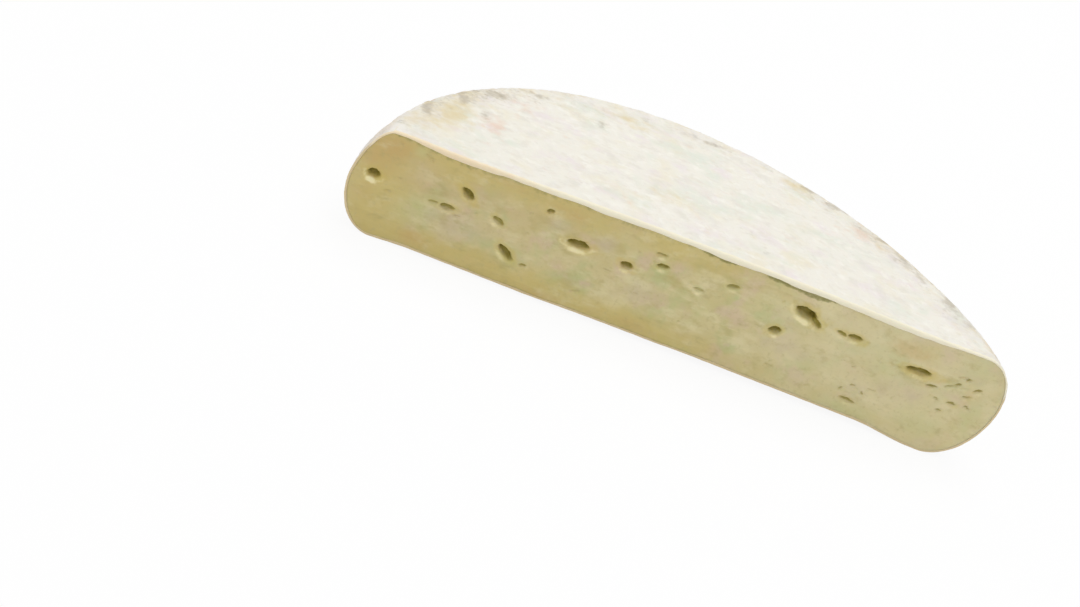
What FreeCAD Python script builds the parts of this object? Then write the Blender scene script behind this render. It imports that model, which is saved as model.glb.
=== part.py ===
"""A half wheel of soft washed-rind mountain cheese, cut from a low round wheel.

The rim and the domed crown are each lofted right round the wheel. The rim is the one
that a ripe cheese slumps into: tight on one side, full on the other, over a flat foot
ring. A knife cut beside the axis leaves the half of both, which are joined and
slightly hollowed below. The eyes that the knife opens are then cut out of its face.

Lengths are millimetres. While the wheel is made, its axis is Z and the knife cut is
parallel to X. The finished half has its origin under the middle of its own box: +X
along the cut, -Y out of the cut face, +Z up.
"""

import FreeCAD
import Part

import math
import os
from collections import namedtuple

NODE = "half_wheel"

# The wheel.
WHEEL_DIAMETER = 140.0
WHEEL_HEIGHT = 23.3
CROWN_RISE = 1.2
SIDE_RISE = 1.25
OUT_OF_ROUND = 1.3
LOBE_TURN = 1.05
HOLLOW_RADIUS = 40.0
HOLLOW_RISE = 1.0

# The knife cut, measured from the wheel's axis.
CUT_OFFSET = 8.0

# How far the rim draws in above and below its widest height, on the wheel's right
# side (+X) and its left side. A power of 2 is an ellipse, and less is tighter.
Rim = namedtuple("Rim", "widest_height shoulder_inset shoulder_power foot_inset foot_power")
RIGHT_RIM = Rim(
    widest_height=14.5, shoulder_inset=7.5, shoulder_power=2.2, foot_inset=10.6, foot_power=1.9
)
LEFT_RIM = Rim(
    widest_height=11.0, shoulder_inset=5.0, shoulder_power=1.7, foot_inset=8.1, foot_power=2.0
)

# How finely the loft follows the rim and the crown.
POINTS_ROUND = 12
RIM_STEPS = (-90.0, -75.0, -45.0, 0.0, 45.0, 75.0, 90.0)
CROWN_STEPS = (1.0, 0.7, 0.4, 0.1)
LOFT_DEGREE = 3
BOX_TOLERANCE = 0.02

# The larger eyes of the paste. Along is the share of the way from the middle of the cut
# to its right (or, below zero, left) end, and up is the share of the wheel's height.
# Width, height and depth are the pocket's, and tilt turns it, right end up. Its floor is
# a smaller ellipse, lifted so that the lower lip slopes into the light.
Eye = namedtuple("Eye", "along up width height depth tilt")
EYES = (
    Eye(along=-0.94, up=0.58, width=2.8, height=2.4, depth=1.8, tilt=0.0),
    Eye(along=-0.67, up=0.73, width=3.4, height=1.9, depth=1.5, tilt=-35.0),
    Eye(along=-0.51, up=0.35, width=4.4, height=1.8, depth=1.5, tilt=-35.0),
    Eye(along=-0.33, up=0.66, width=5.0, height=2.0, depth=1.8, tilt=3.0),
    Eye(along=0.29, up=0.59, width=2.8, height=1.9, depth=1.6, tilt=10.0),
    Eye(along=0.36, up=0.83, width=6.2, height=3.0, depth=2.6, tilt=-17.0),
    Eye(along=0.73, up=0.72, width=6.2, height=1.7, depth=1.6, tilt=2.0),
)

# For every eye: the floor's size as a share of the mouth's, its lift as a share of the
# eye's height, and how far outside the cut the pocket starts.
EYE_FLOOR = 0.5
EYE_LIFT = 0.12
EYE_OVERSHOOT = 0.2


def share_of_left(angle):
    """Gives how much of the left side's rim shows at an angle round the wheel, 0 to 1."""
    return 0.5 - 0.5 * math.cos(angle)


def rim_at(angle):
    """Blends the two sides' rims at an angle round the wheel."""
    left = share_of_left(angle)
    return Rim(*((1.0 - left) * r + left * l for r, l in zip(RIGHT_RIM, LEFT_RIM)))


def widest_radius(angle):
    """The wheel's radius at its widest height: slumped, so not quite round."""
    return WHEEL_DIAMETER / 2.0 + OUT_OF_ROUND * math.cos(3.0 * angle + LOBE_TURN)


def superellipse(step, power):
    """A quarter of a superellipse at a step of 0 to 90 degrees, as (rise, inset) shares."""
    turn = math.radians(step)
    rise = math.sin(turn) ** (2.0 / power)
    inset = 1.0 - max(math.cos(turn), 0.0) ** (2.0 / power)
    return rise, inset


def top_height(x):
    """The height of the shoulder's plane, which is tilted: the right side is thicker."""
    return WHEEL_HEIGHT + SIDE_RISE * x / (WHEEL_DIAMETER / 2.0)


def rim_point(angle, step):
    """A point of the rim: step is -90 at the foot, 0 at the widest height, 90 on top."""
    rim = rim_at(angle)
    if step >= 0.0:
        rise, inset = superellipse(step, rim.shoulder_power)
        radius = widest_radius(angle) - rim.shoulder_inset * inset
        shoulder_x = (widest_radius(angle) - rim.shoulder_inset) * math.cos(angle)
        height = rim.widest_height + (top_height(shoulder_x) - rim.widest_height) * rise
    else:
        rise, inset = superellipse(-step, rim.foot_power)
        radius = widest_radius(angle) - rim.foot_inset * inset
        height = rim.widest_height * (1.0 - rise)
    return FreeCAD.Vector(radius * math.cos(angle), radius * math.sin(angle), height)


def crown_point(angle, share):
    """A point of the domed top, at a share of the way out from the axis to the shoulder."""
    edge = rim_point(angle, 90.0)
    rise = CROWN_RISE * (1.0 - share * share)
    return FreeCAD.Vector(edge.x * share, edge.y * share, top_height(edge.x * share) + rise)


def ring(point_at, level):
    """A smooth closed wire round the wheel through point_at(angle, level)."""
    angles = [2.0 * math.pi * k / POINTS_ROUND for k in range(POINTS_ROUND)]
    curve = Part.BSplineCurve()
    curve.interpolate(Points=[point_at(a, level) for a in angles], PeriodicFlag=True)
    return Part.Wire(curve.toShape())


def loft(point_at, levels):
    """A closed solid lofted through the rings at these levels."""
    rings = [ring(point_at, level) for level in levels]
    return Part.makeLoft(rings, True, False, False, LOFT_DEGREE)


def behind_the_cut(shape):
    """Keeps what lies behind the knife cut."""
    span = 2.0 * WHEEL_DIAMETER
    corner = FreeCAD.Vector(-span / 2.0, CUT_OFFSET, -span / 2.0)
    return shape.common(Part.makeBox(span, span, span, corner))


def plain_half():
    """The half without its eyes: rim and domed crown in one, with a hollow under them."""
    rim = behind_the_cut(loft(rim_point, RIM_STEPS))
    crown = behind_the_cut(loft(crown_point, CROWN_STEPS))
    ball_radius = (HOLLOW_RADIUS**2 + HOLLOW_RISE**2) / (2.0 * HOLLOW_RISE)
    ball = Part.makeSphere(ball_radius, FreeCAD.Vector(0.0, 0.0, HOLLOW_RISE - ball_radius))
    return rim.fuse(crown).cut(ball).removeSplitter()


def eye_outline(eye, depth):
    """The outline of one eye at a depth: an ellipse that narrows and rises inwards."""
    inwards = depth / eye.depth
    share = 1.0 - (1.0 - EYE_FLOOR) * inwards
    ellipse = Part.Ellipse(FreeCAD.Vector(), eye.width / 2.0 * share, eye.height / 2.0 * share)
    outline = ellipse.toShape()
    outline.rotate(FreeCAD.Vector(), FreeCAD.Vector(1, 0, 0), 90.0)
    outline.translate(FreeCAD.Vector(0, depth, EYE_LIFT * eye.height * inwards))
    return Part.Wire(outline)


def eye_hollow(eye, half_cut):
    """What the knife opens of one bubble: a pocket that starts just outside the cut."""
    outlines = [eye_outline(eye, depth) for depth in (-EYE_OVERSHOOT, eye.depth)]
    pocket = Part.makeLoft(outlines, True, True)
    pocket.rotate(FreeCAD.Vector(), FreeCAD.Vector(0, 1, 0), -eye.tilt)
    pocket.translate(FreeCAD.Vector(eye.along * half_cut, CUT_OFFSET, eye.up * WHEEL_HEIGHT))
    return pocket


def box_of(shape):
    """The shape's box, measured on its facets because a spline's own box is loose."""
    box = FreeCAD.BoundBox()
    for point in shape.tessellate(BOX_TOLERANCE)[0]:
        box.add(point)
    return box


def half_wheel():
    """The finished half, with its origin under the middle of its box."""
    half = plain_half()
    half_cut = box_of(half).XLength / 2.0
    half = half.cut([eye_hollow(eye, half_cut) for eye in EYES]).Solids[0]
    box = box_of(half)
    half.translate(FreeCAD.Vector(-box.Center.x, -box.Center.y, -box.ZMin))
    return half


def main():
    """Builds the half and writes it as one STEP file."""
    os.makedirs("parts", exist_ok=True)
    half = half_wheel()
    half.exportStep(f"parts/{NODE}.step")
    box = box_of(half)
    print(
        f"{NODE}: valid {half.isValid()}, {len(half.Solids)} solid, {len(half.Faces)} faces,"
        f" {half.Volume / 1000.0:.1f} cm3,"
        f" {box.XLength:.2f} x {box.YLength:.2f} x {box.ZLength:.2f} mm"
    )


main()
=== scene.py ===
"""Looks of a half wheel of soft washed-rind mountain cheese on a white table.

The half is two pieces. The rind is a thin closed skin with its bloom, its bare ochre
band and the lip that the knife left along the cut. The paste fills it, and shows its
cut face with the eyes that the knife opened.

Shapes are worked out in millimetres in the wheel's own frame: the wheel's axis is Z and
the cut lies in a plane of constant Y, with the paste behind it. They are moved into the
frame of the model, in metres, as each mesh is made.
"""

import logging
import math
from dataclasses import dataclass
from enum import Enum

import bmesh
import bpy
import numpy as np
from mathutils import Matrix, Vector


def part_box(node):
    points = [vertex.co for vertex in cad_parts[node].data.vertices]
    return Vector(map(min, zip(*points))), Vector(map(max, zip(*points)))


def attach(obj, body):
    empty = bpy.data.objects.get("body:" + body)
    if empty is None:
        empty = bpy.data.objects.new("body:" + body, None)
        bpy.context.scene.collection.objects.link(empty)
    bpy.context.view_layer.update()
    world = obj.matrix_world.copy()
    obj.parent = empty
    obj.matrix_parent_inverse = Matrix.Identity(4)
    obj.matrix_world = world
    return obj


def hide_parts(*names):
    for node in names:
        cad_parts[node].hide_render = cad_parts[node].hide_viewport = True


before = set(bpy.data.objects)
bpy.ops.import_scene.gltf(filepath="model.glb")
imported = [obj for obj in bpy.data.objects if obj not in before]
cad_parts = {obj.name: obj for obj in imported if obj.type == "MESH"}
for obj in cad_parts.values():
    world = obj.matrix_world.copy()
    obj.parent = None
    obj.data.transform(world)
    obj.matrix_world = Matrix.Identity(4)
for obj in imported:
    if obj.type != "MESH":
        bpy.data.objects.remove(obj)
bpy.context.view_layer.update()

NODE = "half_wheel"
BODY = "root"
MM = 0.001

# Two values between which something rises from 0 to 1. Where the first is the higher of
# the two, it rises downwards.
Ramp = tuple[float, float]

# Points closer than this are one point, in millimetres.
MERGE = 0.002

# The least length of a normal before it is made a unit long.
TINY = 1e-12

# Places round a closed loop run from 0 up to this, 1 for each of its sides.
LOOP_END = 4.0

# The skin turns into the side and into the base as it faces less and less upwards, 1 to
# -1, and the top's edge is where it is near the shoulder and still faces up.
SIDE_TURN: Ramp = (0.93, 0.5)
BASE_TURN: Ramp = (-0.6, -0.95)
EDGE_REACH: Ramp = (10.0, 1.0)
EDGE_TURN: Ramp = (0.3, 0.8)

# An inner skin's steps round the rim, along a patch's side and up the rim.
INNER_STEPS = (120, 30, 22)

# Large odd numbers that scatter the values of neighbouring cells.
CELL_KEYS = (73856093, 19349663, 83492791)
SEED_KEY = 1013904223
MIX_KEYS = ((15, 2246822519), (13, 3266489917))
WORD = 0xFFFFFFFF

# Blender's noise: its detail, how strong its finer grains are in the colours and in the
# relief, the values that it mostly keeps between, and how far each layer's grains are
# moved from those of the layer before it, in grains.
NOISE_DETAIL = 3.0
COLOUR_ROUGHNESS = 0.55
RELIEF_ROUGHNESS = 0.6
NOISE_RANGE: Ramp = (0.2, 0.8)
LAYER_MOVE = (3.7, 1.3, 2.1)

log = logging.getLogger("half_wheel")


# ---------------------------------------------------------------- small tools


def linear(hex_colour: str) -> tuple[float, float, float, float]:
    """Turns an sRGB hex colour into linear light.

    Args:
        hex_colour: A colour such as "#f2eee3".

    Returns:
        Red, green, blue and an alpha of 1.
    """
    parts = [int(hex_colour[k : k + 2], 16) / 255.0 for k in (1, 3, 5)]
    light = [c / 12.92 if c <= 0.04045 else ((c + 0.055) / 1.055) ** 2.4 for c in parts]
    return (*light, 1.0)


def add_node(
    tree: bpy.types.NodeTree,
    kind: str,
    settings: dict | None = None,
    values: dict | None = None,
    links: dict | None = None,
) -> bpy.types.Node:
    """Adds one node to a node tree.

    Args:
        tree: The node tree.
        kind: The node's type, without the words ShaderNode.
        settings: Properties of the node, by name.
        values: Constants for its inputs, by name or place.
        links: Sockets that feed its inputs, by name or place.

    Returns:
        The new node.
    """
    node = tree.nodes.new("ShaderNode" + kind)
    for name, value in (settings or {}).items():
        setattr(node, name, value)
    for name, value in (values or {}).items():
        node.inputs[name].default_value = value
    for name, socket in (links or {}).items():
        tree.links.new(socket, node.inputs[name])
    return node


def empty_tree(owner: bpy.types.Material | bpy.types.World) -> bpy.types.NodeTree:
    """Gives a material or the world a node tree with nothing in it.

    Args:
        owner: The material or the world.

    Returns:
        The node tree.
    """
    owner.use_nodes = True
    owner.node_tree.nodes.clear()
    return owner.node_tree


def add_object(name: str, data: bpy.types.ID) -> bpy.types.Object:
    """Puts a mesh, a light or a camera into the scene.

    Args:
        name: The object's name.
        data: What it shows.

    Returns:
        The object, at the origin.
    """
    added = bpy.data.objects.new(name, data)
    bpy.context.scene.collection.objects.link(added)
    return added


def ease(low: float, high: float, value: np.ndarray) -> np.ndarray:
    """Rises smoothly from 0 at low to 1 at high: t * t * (3 - 2 t) of the clipped share."""
    share = np.clip((value - low) / (high - low), 0.0, 1.0)
    return share * share * (3.0 - 2.0 * share)


def bell(away: np.ndarray) -> np.ndarray:
    """Falls smoothly to both sides from 1 at 0: exp(-away^2)."""
    return np.exp(-(away**2))


def at_least(low: float, share: np.ndarray) -> np.ndarray:
    """Rises from low to 1 as a share rises from 0 to 1: low + (1 - low) * share."""
    return low + (1.0 - low) * share


def rows_of(kind: type, *rows: tuple[float, ...]) -> tuple:
    """Makes one object of a kind from each row of its fields' values."""
    return tuple(kind(*row) for row in rows)


@dataclass(frozen=True)
class Grain:
    """Smooth random relief: lattice values blended between whole steps, in octaves.

    Each octave is half as large and half as strong as the one before it.
    """

    size: float
    seed: int
    octaves: int = 3
    stretch: tuple[float, float, float] = (1.0, 1.0, 1.0)
    seed_step: int = 17

    def at(self, points: np.ndarray) -> np.ndarray:
        """Gives the relief at points: the octaves' sum over the root of their squares.

        Args:
            points: Points in millimetres, x, y, z last.

        Returns:
            The relief, about -1 to 1.
        """
        scaled = points / (self.size * np.array(self.stretch))
        total = np.zeros(points.shape[:-1])
        weight = 0.0
        for octave in range(self.octaves):
            share = 0.5**octave
            seed = self.seed + self.seed_step * octave
            total += share * self.one_octave(scaled * 2.0**octave, seed)
            weight += share * share
        return total / math.sqrt(weight)

    @staticmethod
    def one_octave(points: np.ndarray, seed: int) -> np.ndarray:
        """Blends the values at the corners of each point's cell.

        A corner's value is a hash of its cell and the seed, and the blend along each
        direction is t^3 (6 t^2 - 15 t + 10).

        Args:
            points: Points in units of one cell.
            seed: The octave's seed.

        Returns:
            The values, -1 to 1.
        """
        cell = np.floor(points)
        part = points - cell
        blend = part**3 * (part * (part * 6.0 - 15.0) + 10.0)
        cell = cell.astype(np.int64)
        total = np.zeros(points.shape[:-1])
        for corner in np.ndindex(2, 2, 2):
            key = (cell + corner) * np.array(CELL_KEYS)
            mixed = (key[..., 0] ^ key[..., 1] ^ key[..., 2]) + seed * SEED_KEY
            for shift, factor in MIX_KEYS:
                mixed = (mixed ^ (mixed >> shift)) * factor & WORD
            value = (mixed ^ (mixed >> 16)) / 2.0**31 - 1.0
            total += value * np.prod(np.where(corner, blend, 1.0 - blend), axis=-1)
        return total


# ---------------------------------------------------------------- the wheel's form


@dataclass(frozen=True)
class WheelForm:
    """The whole wheel's smooth form and the knife cut, in millimetres.

    A rim is widest_height, shoulder_inset, shoulder_power, foot_inset, foot_power: how
    far the side draws in above and below its widest height, and how squarely. A corner
    of the cut is its x and how far the knife drew it up. A lift of the base is its
    height and the two values of x between which it rises.
    """

    diameter: float = 140.0
    height: float = 23.3
    crown_rise: float = 1.2
    side_rise: float = 1.25
    out_of_round: float = 1.3
    lobe_turn: float = 1.05
    hollow_radius: float = 40.0
    hollow_rise: float = 1.0
    cut_offset: float = 8.0
    right_rim: tuple[float, ...] = (14.5, 7.5, 2.2, 10.6, 1.9)
    left_rim: tuple[float, ...] = (11.0, 5.0, 1.7, 8.1, 2.0)
    corners: tuple[tuple[float, float], ...] = ((-62.0, 0.6), (62.5, 0.4))
    corner_reach: float = 8.0
    corner_fade: float = 30.0
    lifts: tuple[tuple[float, float, float], ...] = ((0.5, -62.0, -52.0), (0.65, -14.0, 8.0))
    lift_end: Ramp = (57.0, 44.0)
    lift_fade: float = 26.0
    first_angle: float = 0.1
    rounds: int = 12
    fine_steps: int = 721
    coarse_steps: int = 91

    def drawn_up(self, points: np.ndarray) -> np.ndarray:
        """Lifts the cut's two top corners a little, where the knife drew them up.

        The lift is a bell over each corner, lift * exp(-(distance / reach)^2), times the
        share of the height, and it fades away behind the cut.

        Args:
            points: Points of the plain form.

        Returns:
            The points with their heights changed.
        """
        x = points[..., 0]
        bells = sum(lift * bell((x - middle) / self.corner_reach) for middle, lift in self.corners)
        fade = ease(self.corner_fade, 0.0, points[..., 1] - self.cut_offset)
        lifted = points.copy()
        lifted[..., 2] += bells * fade * points[..., 2] / self.height
        return lifted

    def rim_at(self, angle: np.ndarray) -> list[np.ndarray]:
        """Blends the two rims round the wheel: the left one's share is (1 - cos a) / 2."""
        left = 0.5 - 0.5 * np.cos(angle)
        return [(1.0 - left) * r + left * k for r, k in zip(self.right_rim, self.left_rim)]

    def reach(self, angle: np.ndarray) -> np.ndarray:
        """The widest radius, with three faint lobes: D / 2 + e cos(3 a + turn)."""
        return self.diameter / 2.0 + self.out_of_round * np.cos(3.0 * angle + self.lobe_turn)

    def top_height(self, x: np.ndarray) -> np.ndarray:
        """The shoulder's height, a plane that rises to the right."""
        return self.height + self.side_rise * x / (self.diameter / 2.0)

    def rim_point(self, angle: np.ndarray, step: np.ndarray) -> np.ndarray:
        """Points of the rim, two quarter superellipses one over the other.

        Args:
            angle: The angle round the wheel.
            step: -90 at the foot, 0 at the widest height, 90 on the shoulder.

        Returns:
            The points, in the arrays' shape with x, y, z last.
        """
        widest, shoulder, square, foot, foot_square = self.rim_at(angle)
        above = step >= 0.0
        turn = np.radians(np.abs(step))
        power = 2.0 / np.where(above, square, foot_square)
        rise = np.sin(turn) ** power
        inset = 1.0 - np.maximum(np.cos(turn), 0.0) ** power
        radius = self.reach(angle) - np.where(above, shoulder, foot) * inset
        top = self.top_height((self.reach(angle) - shoulder) * np.cos(angle))
        height = np.where(above, widest + (top - widest) * rise, widest * (1.0 - rise))
        return np.stack([radius * np.cos(angle), radius * np.sin(angle), height], axis=-1)

    def cut_angles(self, step: np.ndarray) -> tuple[np.ndarray, np.ndarray]:
        """The angles at which the rim meets the cut: radius * sin(angle) = cut offset.

        The radius depends on the angle, so the angle is found again a few times over.

        Args:
            step: Steps up the rim.

        Returns:
            The angles at the right end and at the left end.
        """
        right = np.full_like(step, self.first_angle)
        left = np.full_like(step, math.pi - self.first_angle)
        for _ in range(self.rounds):
            here = np.linalg.norm(self.rim_point(right, step)[..., :2], axis=-1)
            there = np.linalg.norm(self.rim_point(left, step)[..., :2], axis=-1)
            right = np.arcsin(self.cut_offset / here)
            left = math.pi - np.arcsin(self.cut_offset / there)
        return right, left

    def even_steps(self, count: int) -> np.ndarray:
        """Finds steps up the rim that lie about evenly along its profile at the back.

        Args:
            count: How many intervals the steps bound.

        Returns:
            The steps, from -90 to 90.
        """
        fine = np.linspace(-90.0, 90.0, self.fine_steps)
        profile = self.rim_point(np.full_like(fine, math.pi / 2.0), fine)
        length = np.append(0.0, np.cumsum(np.linalg.norm(np.diff(profile, axis=0), axis=-1)))
        return np.interp(np.linspace(0.0, length[-1], count + 1), length, fine)

    def crown(self, plan: np.ndarray) -> np.ndarray:
        """Works out the top's height: the tilted plane + rise * (1 - share^2).

        Args:
            plan: Points, of which only x and y are read.

        Returns:
            The heights. The share is the way out from the axis to the shoulder.
        """
        angle = np.arctan2(plan[..., 1], plan[..., 0])
        edge = self.reach(angle) - self.rim_at(angle)[1]
        share = np.linalg.norm(plan[..., :2], axis=-1) / edge
        return self.top_height(plan[..., 0]) + self.crown_rise * (1.0 - share**2)

    def base(self, plan: np.ndarray) -> np.ndarray:
        """Works out the underside's height: the higher of a hollow and the cut's lift.

        The hollow is a ball's, sqrt(ball^2 - distance^2) less its centre's depth. The
        lift is where the knife has drawn the base up behind the cut, all but the right
        end's foot.

        Args:
            plan: Points, of which only x and y are read.

        Returns:
            The heights.
        """
        ball = (self.hollow_radius**2 + self.hollow_rise**2) / (2.0 * self.hollow_rise)
        across = np.minimum(np.linalg.norm(plan[..., :2], axis=-1), self.hollow_radius)
        hollow = np.sqrt(ball**2 - across**2) - ball + self.hollow_rise
        x = plan[..., 0]
        lift = sum(rise * ease(start, end, x) for rise, start, end in self.lifts)
        lift = lift * ease(*self.lift_end, x)
        lift = lift * ease(self.lift_fade, 0.0, plan[..., 1] - self.cut_offset)
        return np.maximum(np.maximum(hollow, lift), 0.0)

    def shift(self) -> np.ndarray:
        """Finds the move that puts the half over the middle of the CAD half.

        Returns:
            The move in millimetres, level.
        """
        angles = np.linspace(0.0, math.pi, self.fine_steps)
        angle, step = np.meshgrid(angles, np.linspace(-90.0, 90.0, self.coarse_steps))
        points = self.rim_point(angle, step)
        points = points[points[..., 1] >= self.cut_offset]
        low, high = points.min(axis=0), points.max(axis=0)
        low[1] = self.cut_offset
        node_low, node_high = (np.array(corner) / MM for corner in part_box(NODE))
        level = np.array([1.0, 1.0, 0.0])
        return (node_low + node_high) / 2.0 * level - (low + high) / 2.0 * level


# ---------------------------------------------------------------- meshes from grids


def patch_between(
    low: np.ndarray, high: np.ndarray, start: np.ndarray, end: np.ndarray, power: int = 1
) -> np.ndarray:
    """Works out a patch between four edges.

    It is the ruled surface between low and high, plus each end's departure from it times
    (1 - distance along) to a power. A high power makes a long patch of even rows, of
    which only the columns near an end bend.

    Args:
        low: The edge at v = 0, from start[0] to end[0].
        high: The edge at v = 1, from start[-1] to end[-1].
        start: The edge at u = 0.
        end: The edge at u = 1.
        power: How fast the patch forgets the curves of its ends.

    Returns:
        The grid of points, v first and u second.
    """
    u = np.linspace(0.0, 1.0, len(low))[None, :, None]
    v = np.linspace(0.0, 1.0, len(start))[:, None, None]
    ruled = (1.0 - v) * low[None] + v * high[None]
    first = start[:, None] - ruled[:, :1]
    last = end[:, None] - ruled[:, -1:]
    return ruled + first * (1.0 - u) ** power + last * u**power


def grid_normals(points: np.ndarray) -> np.ndarray:
    """Unit normals of a grid: the cross product of its two differences."""
    normal = np.cross(np.gradient(points, axis=0), np.gradient(points, axis=1))
    return normal / np.maximum(np.linalg.norm(normal, axis=-1, keepdims=True), TINY)


def join_sides(*sides: np.ndarray) -> tuple[np.ndarray, np.ndarray]:
    """Joins sides into a closed loop, with each corner once, and gives the places round it."""
    places = [np.arange(len(s) - 1) / (len(s) - 1) + k for k, s in enumerate(sides)]
    return np.concatenate([s[:-1] for s in sides]), np.concatenate(places)


class MeshMaker:
    """Gathers grids and loops of points, with values at each point, into one mesh."""

    def __init__(self, values: tuple[str, ...]) -> None:
        """Starts an empty mesh.

        Args:
            values: The names of the values that each point carries.
        """
        self.names = values
        self.points: list[np.ndarray] = []
        self.values: list[np.ndarray] = []
        self.quads: list[np.ndarray] = []
        self.triangles: list[np.ndarray] = []
        self.count = 0

    def add_points(self, points: np.ndarray, **values: np.ndarray) -> np.ndarray:
        """Adds points with their values.

        Args:
            points: The points, x, y, z last.
            values: Values at the points, by name. What isn't given is 0.

        Returns:
            The points' numbers, in the points' shape.
        """
        shape = points.shape[:-1]
        self.points.append(points.reshape(-1, 3))
        carried = np.zeros((len(self.points[-1]), len(self.names)))
        for k, name in enumerate(self.names):
            carried[:, k] = np.broadcast_to(values.get(name, 0.0), shape).ravel()
        self.values.append(carried)
        numbers = np.arange(self.count, self.count + self.points[-1].shape[0])
        self.count += len(numbers)
        return numbers.reshape(shape)

    def add_grid(self, numbers: np.ndarray) -> None:
        """Adds the quads of a grid of point numbers."""
        a, b, c, d = numbers[:-1, :-1], numbers[:-1, 1:], numbers[1:, 1:], numbers[1:, :-1]
        self.quads.append(np.stack([a, b, c, d], axis=-1).reshape(-1, 4))

    def add_zip(
        self, one: np.ndarray, one_at: np.ndarray, two: np.ndarray, two_at: np.ndarray
    ) -> None:
        """Joins two closed loops of different lengths with triangles.

        The two loops' places are sorted together, and each step along either loop makes
        one triangle with the point that the other loop has reached.

        Args:
            one: Point numbers of the first loop.
            one_at: Their places round the loop, rising from 0.
            two: Point numbers of the second loop.
            two_at: Their places.
        """
        places = np.concatenate([one_at[1:], [LOOP_END], two_at[1:], [LOOP_END]])
        first = np.argsort(places, kind="stable") < len(one)
        i = np.cumsum(first) - first
        j = np.cumsum(~first) - ~first
        ahead = np.where(first, one[(i + 1) % len(one)], two[(j + 1) % len(two)])
        self.triangles.append(np.stack([one[i % len(one)], ahead, two[j % len(two)]], axis=-1))

    def add_band(self, one: np.ndarray, two: np.ndarray) -> None:
        """Joins two closed loops of the same length with quads."""
        self.add_grid(np.stack([np.append(loop, loop[0]) for loop in (one, two)]))

    def piece(self, name: str, shift: np.ndarray) -> bpy.types.Object:
        """Makes the object: points in metres, doubles merged, faces outwards and smooth.

        Args:
            name: The piece's name.
            shift: The move into the model's frame, in millimetres.

        Returns:
            The object, at the origin.
        """
        points = (np.concatenate(self.points) + shift) * MM
        faces = [face for part in (*self.quads, *self.triangles) for face in part.tolist()]
        mesh = bpy.data.meshes.new(name)
        mesh.from_pydata(points.tolist(), [], faces)
        values = np.concatenate(self.values).astype(np.float32)
        for k, value_name in enumerate(self.names):
            layer = mesh.attributes.new(value_name, "FLOAT", "POINT")
            layer.data.foreach_set("value", np.ascontiguousarray(values[:, k]))
        work = bmesh.new()
        work.from_mesh(mesh)
        bmesh.ops.remove_doubles(work, verts=work.verts, dist=MERGE * MM)
        bmesh.ops.dissolve_degenerate(work, edges=work.edges, dist=MERGE * MM)
        bmesh.ops.recalc_face_normals(work, faces=work.faces)
        work.to_mesh(mesh)
        work.free()
        mesh.shade_smooth()
        return add_object(name, mesh)


# ---------------------------------------------------------------- finishes


def add_grains(
    tree: bpy.types.NodeTree,
    place: bpy.types.NodeSocket,
    sizes: tuple[float, ...],
    roughness: float,
    start: tuple[float, ...] = (0.0, 0.0, 0.0),
) -> bpy.types.NodeSocket:
    """Adds a pattern of soft grains to a node tree.

    Args:
        tree: The node tree.
        place: The place on the object.
        sizes: The grains' sizes along x, y and z, in millimetres.
        roughness: How strong the finer grains in them are.
        start: Where in the pattern the object's middle lies, in grains.

    Returns:
        The pattern's value, 0 to 1.
    """
    shares = [1.0 / (MM * size) for size in sizes]
    turned = add_node(
        tree, "Mapping", values={"Scale": shares, "Location": start}, links={"Vector": place}
    )
    values = {"Scale": 1.0, "Detail": NOISE_DETAIL, "Roughness": roughness}
    grains = add_node(tree, "TexNoise", values=values, links={"Vector": turned.outputs[0]})
    return grains.outputs[0]


@dataclass(frozen=True)
class Layer:
    """One colour over those below it, where its mask is high.

    The mask is a value that the mesh carries, or an even 0.5 where it has no name, moved
    up and down by fray times grains of the given size. The colour covers nothing where
    that is low or less, and its strength where it is high or more.
    """

    colour: str
    mask: str
    low: float
    high: float
    strength: float
    grain: float
    fray: float
    stretch: tuple[float, float, float] = (1.0, 1.0, 1.0)

    def paint(
        self,
        tree: bpy.types.NodeTree,
        place: bpy.types.NodeSocket,
        colour: bpy.types.NodeSocket,
        number: int,
    ) -> bpy.types.NodeSocket:
        """Paints the layer over a colour.

        Args:
            tree: The node tree.
            place: The place on the object.
            colour: The colour so far.
            number: The layer's number, which moves its grains to a place of their own.

        Returns:
            The colour with the layer over it.
        """
        sizes = tuple(self.grain * share for share in self.stretch)
        start = tuple(number * move for move in LAYER_MOVE)
        grains = add_grains(tree, place, sizes, COLOUR_ROUGHNESS, start)
        low, high = NOISE_RANGE
        ends = {1: low, 2: high, 3: -self.fray, 4: self.fray}
        moved = add_node(tree, "MapRange", values=ends, links={"Value": grains})
        total = add_node(tree, "Math", {"operation": "ADD"}, {0: 0.5}, {1: moved.outputs[0]})
        if self.mask:
            mask = add_node(tree, "Attribute", {"attribute_name": self.mask})
            tree.links.new(mask.outputs["Fac"], total.inputs[0])
        cover = add_node(
            tree,
            "MapRange",
            {"interpolation_type": "SMOOTHSTEP"},
            {1: self.low, 2: self.high, 3: 0.0, 4: self.strength},
            {"Value": total.outputs[0]},
        )
        over = {0: cover.outputs[0], 6: colour}
        mixed = add_node(tree, "Mix", {"data_type": "RGBA"}, {7: linear(self.colour)}, over)
        return mixed.outputs[2]


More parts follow.
